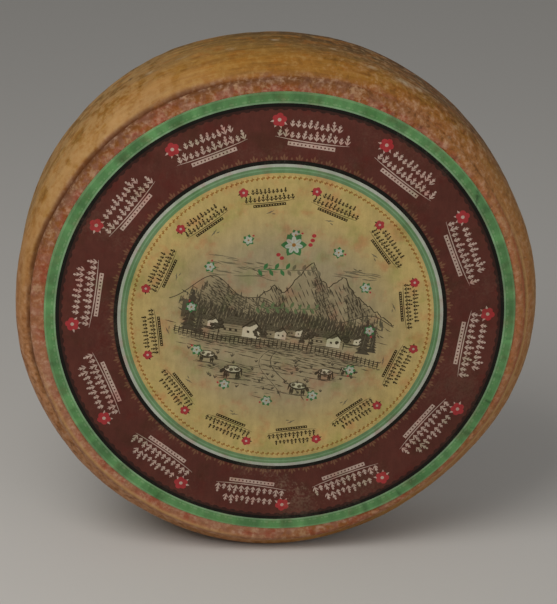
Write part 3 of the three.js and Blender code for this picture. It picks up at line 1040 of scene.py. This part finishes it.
def cow(x, y, size, facing):
    """A grazing cow: dark outline, legs and tail, a pale body with dark patches, and a lowered head."""
    forward = size * facing
    legs_x = x + forward * np.array([-0.42, -0.3, 0.3, 0.43])
    tail_angle = -math.pi / 2 - 0.15 * facing
    patches_x = x + forward * np.array([-0.3, 0.08, 0.34])
    patches_y = y + size * np.array([0.04, -0.02, 0.08])
    etch("dark", stroke(legs_x, y - 0.38 * size, math.pi / 2, 0.5 * size, 0.15 * size))
    etch("dark", bead(x, y, 1.12 * size, 0.58 * size, steps=12))
    etch("dark", bead(x + 0.62 * forward, y - 0.16 * size, 0.36 * size, 0.24 * size, -0.9 * facing))
    etch("dark", leaf(x - 0.52 * forward, y + 0.2 * size, tail_angle, 0.6 * size, 0.1 * size, 5))
    etch("paper", bead(x, y + 0.03 * size, 0.96 * size, 0.4 * size, steps=12))
    etch("wood", bead(patches_x, patches_y, 0.28 * size, 0.24 * size, 0.4, 6))
    etch("line", stroke(x, y - 0.62 * size, 0.02, 1.8 * size, 0.8))


HERD = ((-46, -33, 10, 1), (-27, -42, 11.5, -1), (37, -35, 9.5, -1), (52, -31, 8, 1), (20, -48, 11, 1))
for grazing in HERD:
    cow(*grazing)

# Tufts of grass in the foreground, cloud strokes and birds in the sky
TUFTS = 70
LEFT_CLOUD = 40  # strokes in the larger cloud at the left
RIGHT_CLOUD = 20
CLOUDS = LEFT_CLOUD + RIGHT_CLOUD
tuft_x = draw.uniform(-60, 60, TUFTS)
tuft_y = draw.uniform(-59, -28, TUFTS)
tuft_in = vignette(tuft_x, tuft_y) > 0.12
tuft_x, tuft_y = tuft_x[tuft_in], tuft_y[tuft_in]
for tuft_lean in (60, 88, 118):
    tuft_high = draw.uniform(1.8, 3.4, len(tuft_x))
    etch("line", leaf(tuft_x, tuft_y, math.radians(tuft_lean), tuft_high, 0.7, 4))
cloud_x = np.r_[draw.uniform(-56, -10, LEFT_CLOUD), draw.uniform(34, 60, RIGHT_CLOUD)]
cloud_y = np.r_[draw.uniform(26, 42, LEFT_CLOUD), draw.uniform(36, 42, RIGHT_CLOUD)]
cloud_lean, cloud_bend = draw.uniform(-0.12, 0.12, CLOUDS), draw.uniform(-0.5, 0.5, CLOUDS)
etch("soft_line", stroke(cloud_x, cloud_y, cloud_lean, draw.uniform(5, 12, CLOUDS), 0.6, cloud_bend, 5))
bird_x, bird_y = np.transpose(((-22, 33), (-15, 36), (-19, 30), (46, 43)))
for bird_side in (-1, 1):
    etch("line", stroke(bird_x + bird_side * 1.5, bird_y, bird_side * 0.35, 3.2, 0.7, -0.9 * bird_side))


# A ring of small white blossoms over the picture, and one larger one above its middle
def blossom(x, y, size, petals, berries):
    """A white flower of round petals on green leaves, with a rust heart and red berries beside it."""
    leaf_turn = np.radians(60 + 60 * np.arange(6))
    spread = leaf(x, y, leaf_turn, 0.95 * size, 0.62 * size, steps=6)
    petal_turn = np.radians(90 + 360 * np.arange(petals) / petals)
    petal_x, petal_y = x + 0.34 * size * np.cos(petal_turn), y + 0.34 * size * np.sin(petal_turn)
    white = bead(petal_x, petal_y, 0.66 * size, 2.5 * size / petals, petal_turn, 9)
    veins = stroke(petal_x, petal_y, petal_turn, 0.5 * size, 0.05 * size)
    heart = bead(x, y, 0.3 * size, 0.3 * size)
    red_x, red_y = (np.array(berries) * size).T
    red = bead(x + red_x, y + red_y, 0.34 * size, 0.3 * size)
    return ("leaf", spread), ("white", white), ("haze", veins), ("rust", heart), ("red", red)


BLOSSOMS = 12
BLOSSOM_RING = 0.383 * LABEL_RADIUS
SMALL_BERRY = ((0.95, 0.4),)  # places beside the flower, in its own sizes
LARGE_BERRIES = ((-1.1, -0.75), (-0.85, -1.0), (1.2, 0.0), (1.35, 0.35), (1.45, 0.7))
for blossom_ink, blossom_shapes in blossom(0, BLOSSOM_RING, 4.6, 5, SMALL_BERRY):
    ink(blossom_ink, round_ring(blossom_shapes, BLOSSOMS, PRINT_TURN))
for blossom_ink, blossom_shapes in blossom(7.8, 54.3, 9.4, 7, LARGE_BERRIES):
    ink(blossom_ink, blossom_shapes)


def sprig(left, right, height, size):
    """A level twig with leaves to both sides, that lean along it."""
    x = np.arange(left, right, 0.42 * size)
    side = np.where(np.arange(len(x)) % 2, 1, -1)
    leaves = leaf(x, height, side * math.radians(62), 0.6 * size, 0.3 * size, steps=5)
    return leaves, stroke((left + right) / 2, height, 0, right - left, 0.9)


# Leafy twigs: one under the large blossom, dark at the left and pale at the right, and a faint one lower
for sprig_ink, sprig_left, sprig_right, sprig_height, sprig_size in (
    ("leaf", -16, 3, 36.5, 9.0),
    ("soft_line", 4, 25, 36.0, 8.0),
    ("moss", -17, 8, 8.5, 8.0),
    ("moss", 9, 26, 7.5, 7.0),
):
    for sprig_shapes in sprig(sprig_left, sprig_right, sprig_height, sprig_size):
        ink(sprig_ink, sprig_shapes)


# The paper itself, whose front is divided along every printed outline
FOLDS = (
    (36, 0.88, 12, 1.0),
    (-5.2, 0.05, 8, 0.8),
    (-23, -0.1, 8, 0.9),
    (-31, 0.2, 6, 0.7),
    (12, -0.1, 7, 0.5),
    (63, 0.5, 8, 0.6),
    (238, 0.1, 7, 0.5),
    (205, -0.2, 6, 0.4),
    (-57, 0.1, 7, 0.6),
)  # angle in degrees, slant in radians, reach inwards from the edge in mm, strength
FOLD_WIDTH = 0.85
FOLD_HEIGHT = 0.24
FOLD_ENDS = (2.2, 1.6)  # distances from its foot, in reaches, at which a fold has ended and is whole
COCKLE = (0.10, 15, 31)  # height, size of one lump, and seed, as the rind's lumps have them
CRINKLE = (0.035, 5, 32)
PUCKERS = ((1.0, 3.4, 33), (1.0, 9, 34))  # lumps of the wrinkles that run in from the cut edge
PUCKER_HEIGHT = 0.08
PUCKER_REACH = 17
PUCKER_WHOLE = 3  # how far inside the edge they are at their highest


def paper_lift(u, v):
    """How far the print stands in front of the face, with the shares of its wrinkles and folds.

    Cockles and crinkles lie all over. Wrinkles run in from the cut edge, as random lumps taken where each
    point's own radius meets that edge. A fold is a bell curve across its slanting line.
    """
    lift = clouds(u, v, 0, *COCKLE) + clouds(u, v, 0, *CRINKLE)
    radius = np.hypot(u, v)
    outward = LABEL_RADIUS / np.maximum(radius, 1)
    at_edge = sum(clouds(u * outward, v * outward, 0, *lumps) for lumps in PUCKERS)
    puckered = at_edge * smoothstep(radius, LABEL_RADIUS - PUCKER_REACH, LABEL_RADIUS - PUCKER_WHOLE)
    folded = 0
    for degrees, slant, reach, strength in FOLDS:
        angle = math.radians(degrees)
        from_foot = u - LABEL_RADIUS * math.cos(angle), v - LABEL_RADIUS * math.sin(angle)
        off_line = from_foot[0] * math.sin(angle + slant) - from_foot[1] * math.cos(angle + slant)
        by_foot = smoothstep(np.hypot(*from_foot) / reach, *FOLD_ENDS)
        fades = smoothstep(radius, LABEL_RADIUS - reach, LABEL_RADIUS - 0.5 * reach) * by_foot
        folded = folded + strength * fades * np.exp(-((off_line / FOLD_WIDTH) ** 2))
    return lift + PUCKER_HEIGHT * puckered + FOLD_HEIGHT * folded, puckered, folded


def on_face(points, stand):
    """The paper's points in space: along X and Z as drawn, and standing in front of the face's swell."""
    x, z = points[:, 0] + LABEL_SHIFT[0], points[:, 1] + LABEL_SHIFT[1]
    return np.stack([x, -HALF - face_swell(x, z) - stand, z], axis=-1)


def paper_front(points):
    """The print's points in space, with the paper's lifts."""
    return on_face(points, PAPER_PROUD + paper_lift(points[:, 0], points[:, 1])[0])


def divided(layers, loose):
    """Triangles inside the first layer's outline, divided along all outlines, and the ink of each.

    A constrained Delaunay triangulation crosses every outline with every other and takes in loose points.
    The outline that was printed last gives a triangle its ink. The points of the paper's cut edge come out
    as a loop, sorted by their angle.
    """
    points = np.concatenate([*(shapes.reshape(-1, 2) for _, shapes in layers), loose])
    faces, owners, start = [], [], 0
    for name, shapes in layers:
        count, corners = shapes.shape[:2]
        faces += (start + np.arange(count * corners).reshape(count, corners)).tolist()
        owners += [name] * count
        start += count * corners
    found = delaunay_2d_cdt(points.tolist(), [], faces, 0, CROSSING_TOLERANCE, True)
    spots, triangles = np.array([tuple(p) for p in found[0]]), np.array(found[2])
    last = np.array([max(inside, default=-1) for inside in found[5]])
    turn = np.arctan2(spots[:, 1], spots[:, 0])
    on_edge = np.flatnonzero(np.abs(np.hypot(spots[:, 0], spots[:, 1]) - cut_edge(turn)) < EDGE_TOLERANCE)
    loop = on_edge[np.argsort(turn[on_edge])]
    kept = last >= 0
    return spots, triangles[kept], [owners[i] for i in last[kept]], loop


def grid_inside(pitch, radius):
    """Points of a triangular grid inside a circle."""
    row_pitch = pitch * math.sqrt(0.75)
    u, v = np.meshgrid(np.arange(-radius, radius, pitch), np.arange(-radius, radius, row_pitch))
    u = u + (np.arange(len(v))[:, None] % 2) * pitch / 2
    inside = np.hypot(u, v) < radius - pitch / 2
    return np.stack([u[inside], v[inside]], axis=-1)


crease_turn, crease_radius = np.meshgrid(
    np.linspace(0, 2 * math.pi, CREASE_TURNS, endpoint=False),
    np.linspace(LABEL_RADIUS - CREASE_DEPTH, LABEL_RADIUS - CREASE_CLEAR, CREASE_RINGS),
)
crease_points = np.stack([crease_radius * np.cos(crease_turn), crease_radius * np.sin(crease_turn)], axis=-1)
inner_points = grid_inside(PRINT_GRID, LABEL_RADIUS - CREASE_DEPTH)
front_flat, front_triangles, front_inks, front_loop = divided(
    print_layers, np.concatenate([inner_points, crease_points.reshape(-1, 2)])
)
back_flat, back_triangles, _, back_loop = divided(
    print_layers[:1], grid_inside(BACK_GRID, LABEL_RADIUS - BACK_CLEAR)
)

front_points = paper_front(front_flat)
back_points = on_face(back_flat, PAPER_BACK)
back_first = len(front_points)
near_edge, far_edge = front_loop, back_first + back_loop
near_next, far_next = np.roll(near_edge, -1), np.roll(far_edge, -1)
paper_faces = np.concatenate([
    front_triangles,
    back_first + back_triangles[:, ::-1],
    np.stack([near_edge, far_edge, far_next], axis=-1),
    np.stack([near_edge, far_next, near_next], axis=-1),
])
label = add_piece(
    "printed_label",
    np.concatenate([front_points, back_points]),
    paper_faces.tolist(),
    "paper_label",
)

# Smooth normals from the paper's own slope, so that the print's edges don't show in the light
SLOPE_STEP = 0.2
slope_u = (paper_front(front_flat + (SLOPE_STEP, 0)) - paper_front(front_flat - (SLOPE_STEP, 0)))[:, 1]
slope_v = (paper_front(front_flat + (0, SLOPE_STEP)) - paper_front(front_flat - (0, SLOPE_STEP)))[:, 1]
front_normals = np.stack([slope_u, np.full(back_first, -2 * SLOPE_STEP), slope_v], axis=-1)
front_normals = front_normals / np.linalg.norm(front_normals, axis=1, keepdims=True)
back_normals = np.tile((0.0, 1.0, 0.0), (len(back_points), 1))
label.data.normals_split_custom_set_from_vertices(np.concatenate([front_normals, back_normals]).tolist())


def add_front_share(name, values):
    """Keeps one number for each point of the label's front, and 0 for its back."""
    add_share(label, name, np.r_[values, np.zeros(len(back_points))])


# Its wrinkles and folds, and a dull pale patch where damp has lifted the foot of the brown ring
DAMP_MIDDLE = (12, -128)  # along X and Z from the label's middle
DAMP_REACH = (30, 14)
damp_away = (front_flat - DAMP_MIDDLE) / DAMP_REACH
_, front_puckered, front_folded = paper_lift(front_flat[:, 0], front_flat[:, 1])
add_front_share("puckered", front_puckered)
add_front_share("folded", front_folded)
add_front_share("damp", np.exp(-(damp_away**2).sum(axis=1)))

# Each triangle's ink. The ground greys towards the picture, and is washed darker under it
GROUND_GREY = np.array(paint(160, 146, 113))
GREY_REACH = (102, 92)  # half width and half height of the oval that greys, about a point below the middle
GREY_BELOW = 3
WASH = 0.42


def picture_wash(x, y):
    """How dark the finest strokes, too fine to draw one by one, make the picture's ground."""
    tones = (peak_tone(x, y), hill_tone(x, y), wood_tone(x, y), 0.8 * meadow_tone(x, y))
    return WASH * smoothstep(np.maximum.reduce(tones), 0.1, 1.0)


ink_colours = {name: np.array(paint(*seen)) for name, seen in INKS.items()}
corner_u, corner_v = np.moveaxis(turned(front_flat, -PRINT_TURN)[front_triangles], -1, 0)
on_ground = np.isin(front_inks, ["straw", "light", "haze"])[:, None]
from_picture = np.hypot(corner_u / GREY_REACH[0], (corner_v + GREY_BELOW) / GREY_REACH[1])
greyed = np.where(on_ground, 1 - smoothstep(from_picture, 0.5, 1.0), 0)[..., None]
washed = np.where(on_ground, picture_wash(corner_u, corner_v), 0)[..., None]
front_colours = np.array([ink_colours[name] for name in front_inks])[:, None]
front_colours = np.where(on_ground[..., None], ink_colours["straw"], front_colours)
front_colours = front_colours + greyed * (GROUND_GREY - front_colours)
front_colours = front_colours + washed * (ink_colours["line"] - front_colours)
plain_colours = np.tile(ink_colours["paper"], (len(paper_faces) - len(front_triangles), 3, 1))
ink_layer = label.data.attributes.new("ink", "FLOAT_COLOR", "CORNER")
paper_colours = np.concatenate([front_colours, plain_colours])
ink_layer.data.foreach_set("color", paper_colours.astype(np.float32).ravel())

# Printed paper: inks with wear, clouds, painted sheen and shade, a damp bloom, fibres and fine upright
# crinkles
label_material, label_tree, label_shader = new_material("printed_paper")
label_place = add_node(label_tree, "ShaderNodeTexCoord").outputs["Object"]
printed = add_node(label_tree, "ShaderNodeAttribute", attribute_name="ink").outputs["Color"]
upright = {"Vector": label_place, "Scale": (240, 1, 60)}
upright_place = add_node(label_tree, "ShaderNodeMapping", upright).outputs[0]
paper_cloud = noise(label_tree, label_place, 22.0, 5.0)
paper_mottle = noise(label_tree, label_place, 150.0, 4.0, 0.6)
paper_fibre = noise(label_tree, label_place, 900.0, 2.0)
paper_crinkle = noise(label_tree, upright_place, 1.0, 4.0, 0.6)
wear_sheen_and_shade = weighed(
    label_tree,
    0.28,
    (paper_cloud, 0.5),
    (paper_mottle, 0.4),
    (paper_fibre, 0.14),
    # painted sheen: lighter streaks along the crinkles
    (paper_crinkle, 0.4),
    # painted light: lighter where the puckers rise, darker where they sink
    (shared(label_tree, "puckered"), 0.2),
    # painted shade: darker along the folds
    (shared(label_tree, "folded"), -0.5),
)
print_worn_and_lit = add_node(label_tree, "ShaderNodeHueSaturation", {"Value": wear_sheen_and_shade, "Color": printed}).outputs[0]
for wash_scale, wash_colour in ((70.0, paint(255, 196, 196)), (50.0, paint(206, 232, 196))):
    wash_share = stepped(label_tree, noise(label_tree, label_place, wash_scale, 4.0, 0.6), 0.5, 0.7)
    wash_share = computed(label_tree, "MULTIPLY", wash_share, 0.5)
    print_worn_and_lit = mixed(label_tree, wash_share, print_worn_and_lit, wash_colour, "MULTIPLY")
label_bloom = bloom(label_tree, label_place, 26.0, 700.0, 0.5)
label_bloom = computed(
    label_tree, "MULTIPLY", label_bloom, weighed(label_tree, 0.05, (shared(label_tree, "damp"), 0.3))
)
print_worn_and_lit = mixed(label_tree, label_bloom, print_worn_and_lit, BLOOM_WHITE)
label_height = weighed(label_tree, paper_crinkle, (paper_fibre, 0.12))
label_bump = {"Strength": 0.6, "Distance": 0.0009, "Height": label_height}
label_normal = add_node(label_tree, "ShaderNodeBump", label_bump).outputs[0]
label_tree.links.new(print_worn_and_lit, label_shader.inputs["Base Color"])
label_tree.links.new(weighed(label_tree, 0.36, (paper_cloud, 0.3)), label_shader.inputs["Roughness"])
label_tree.links.new(label_normal, label_shader.inputs["Normal"])
label_shader.inputs["Specular IOR Level"].default_value = 0.18
label.data.materials.append(label_material)


# Floor, light and camera
# A plain pale floor under soft studio light from the upper left. The camera stands where the rings of the
# label look as they do in the picture: a little to the left of the wheel's axis and well above it.
FLOOR_HALF = 12.0  # in metres
floor_corners = [(x * FLOOR_HALF, y * FLOOR_HALF, 0) for x, y in ((-1, -1), (1, -1), (1, 1), (-1, 1))]
floor_mesh = bpy.data.meshes.new("floor")
floor_mesh.from_pydata(floor_corners, [], [(0, 1, 2, 3)])
floor = bpy.data.objects.new("floor", floor_mesh)
bpy.context.scene.collection.objects.link(floor)
floor_material, _, floor_shader = new_material("pale_floor")
floor_shader.inputs["Base Color"].default_value = paint(206, 204, 200)
floor_shader.inputs["Roughness"].default_value = 0.8
floor.data.materials.append(floor_material)

label_centre = (label_low + label_high) / 2
label_middle = Vector((label_centre[0], label_low[1], label_centre[2])) * MM  # of its front


def add_lamp(name, place, size, power, colour):
    """A square soft lamp at a place from the label's middle, in metres, turned towards it."""
    lamp = bpy.data.lights.new(name, "AREA")
    lamp.size = size
    lamp.energy = power
    lamp.color = colour
    holder = bpy.data.objects.new(name, lamp)
    holder.location = label_middle + Vector(place)
    holder.rotation_euler = (-Vector(place)).to_track_quat("-Z", "Y").to_euler()
    bpy.context.scene.collection.objects.link(holder)


add_lamp("key", (-0.5, -0.6, 0.9), 0.8, 8.4, (1.0, 0.97, 0.93))
add_lamp("fill", (1.9, -1.9, 0.9), 2.0, 14, (0.97, 0.98, 1.0))
world = bpy.data.worlds.new("studio")
world.use_nodes = True
world.node_tree.nodes["Background"].inputs["Color"].default_value = (1.0, 0.98, 0.95, 1.0)
world.node_tree.nodes["Background"].inputs["Strength"].default_value = 0.22
bpy.context.scene.world = world
bpy.context.scene.view_settings.view_transform = "Standard"

VIEW_TILT = 22.04  # degrees that the camera looks down
VIEW_TURN = 3.04  # degrees that the wheel is turned in the picture
VIEW_PLACE = (0.010, -0.073, -9.13)  # the label's middle as the camera sees it, in label radii
FOCAL_LENGTH = 128.5
SENSOR_WIDTH = 36
turned_wheel = Matrix.Rotation(math.radians(VIEW_TURN), 3, "Y")
label_to_camera = turned_wheel @ Matrix.Rotation(math.radians(VIEW_TILT), 3, "X")
label_to_room = Matrix.Rotation(math.radians(90), 3, "X")
camera_to_room = label_to_room @ label_to_camera.transposed()
camera = bpy.data.objects.new("camera", bpy.data.cameras.new("camera"))
camera.data.lens = FOCAL_LENGTH
camera.data.sensor_width = SENSOR_WIDTH
camera.location = label_middle - camera_to_room @ (Vector(VIEW_PLACE) * LABEL_RADIUS * MM)
camera.rotation_euler = camera_to_room.to_euler()
camera.data.clip_start, camera.data.clip_end = 0.05, 60
bpy.context.scene.collection.objects.link(camera)
bpy.context.scene.camera = camera
